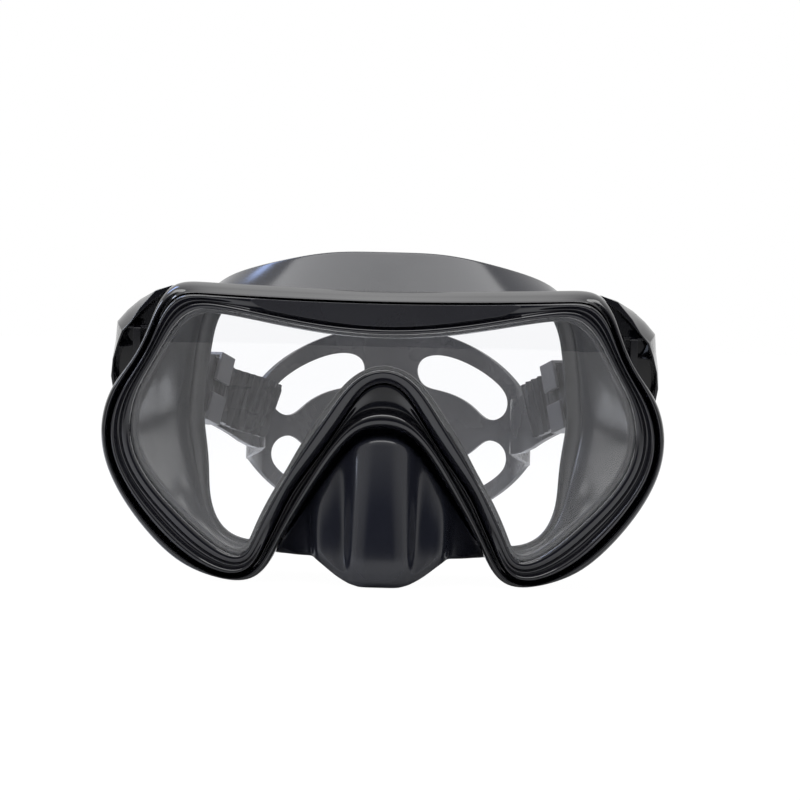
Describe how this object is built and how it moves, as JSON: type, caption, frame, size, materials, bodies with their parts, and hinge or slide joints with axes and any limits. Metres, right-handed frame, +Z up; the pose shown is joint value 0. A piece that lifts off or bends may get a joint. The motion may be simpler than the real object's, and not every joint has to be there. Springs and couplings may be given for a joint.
{
  "type": "diving mask",
  "caption": "Low-volume diving mask with a single glass pane in a clamped moulded frame, silicone skirt with nose pocket, swivelling ratchet buckles and a split-ring strap.",
  "frame": {"origin": "middle of the underside of the whole mask as it stands, on the floor plane", "axes": "+Z up, +X to the right as the viewer faces the window, +Y from the window to the back of the strap; the window looks to -Y"},
  "size_m": [0.175, 0.2064, 0.1033],
  "materials": {
    "gloss_black": "high gloss moulded plastic",
    "gloss_black_bezel": "high gloss moulded plastic",
    "pane": "clear flat tempered pane",
    "satin_trim": "fine satin",
    "silicone": "smooth semi-gloss silicone",
    "strap_silicone": "smooth semi-gloss silicone",
    "buckle_plastic": "gloss moulded plastic",
    "keeper_plastic": "soft satin",
    "steel": "fine brushed"
  },
  "bodies": {
    "mask": {"frame": "gloss_black", "bezel": "gloss_black_bezel", "lens": "pane", "brow_panel": "satin_trim", "skirt": "silicone", "side_bracket_left": "gloss_black", "side_bracket_right": "gloss_black", "swivel_pin_left": "steel", "swivel_pin_right": "steel"},
    "harness": {"strap": "strap_silicone", "buckle_body_left": "buckle_plastic", "buckle_body_right": "buckle_plastic", "roller_pin_left": "steel", "roller_pin_right": "steel", "lever_pin_left": "steel", "lever_pin_right": "steel", "lever_spring_left": "steel", "lever_spring_right": "steel", "strap_keeper_left": "keeper_plastic", "strap_keeper_right": "keeper_plastic"},
    "roller_left": {"roller_left": "steel"},
    "roller_right": {"roller_right": "steel"},
    "release_lever_left": {"release_lever_left": "buckle_plastic"},
    "release_lever_right": {"release_lever_right": "buckle_plastic"}
  },
  "joints": [
    {"name": "strap_swing", "type": "hinge", "parent": "mask", "child": "harness", "pos_m": [0, -0.0652, 0.066], "axis": [1, 0, 0], "range_deg": [-12, 40]},
    {"name": "roller_spin_left", "type": "hinge", "parent": "harness", "child": "roller_left", "pos_m": [-0.07905, -0.04816, 0.066], "axis": [0, 0, 1], "continuous": true},
    {"name": "lever_press_left", "type": "hinge", "parent": "harness", "child": "release_lever_left", "pos_m": [-0.08545, -0.04656, 0.066], "axis": [0, 0, -1], "range_deg": [0, 15], "stiffness_Nm_per_rad": 0.02},
    {"name": "roller_spin_right", "type": "hinge", "parent": "harness", "child": "roller_right", "pos_m": [0.07905, -0.04816, 0.066], "axis": [0, 0, 1], "continuous": true},
    {"name": "lever_press_right", "type": "hinge", "parent": "harness", "child": "release_lever_right", "pos_m": [0.08545, -0.04656, 0.066], "axis": [0, 0, 1], "range_deg": [0, 15], "stiffness_Nm_per_rad": 0.02}
  ]
}
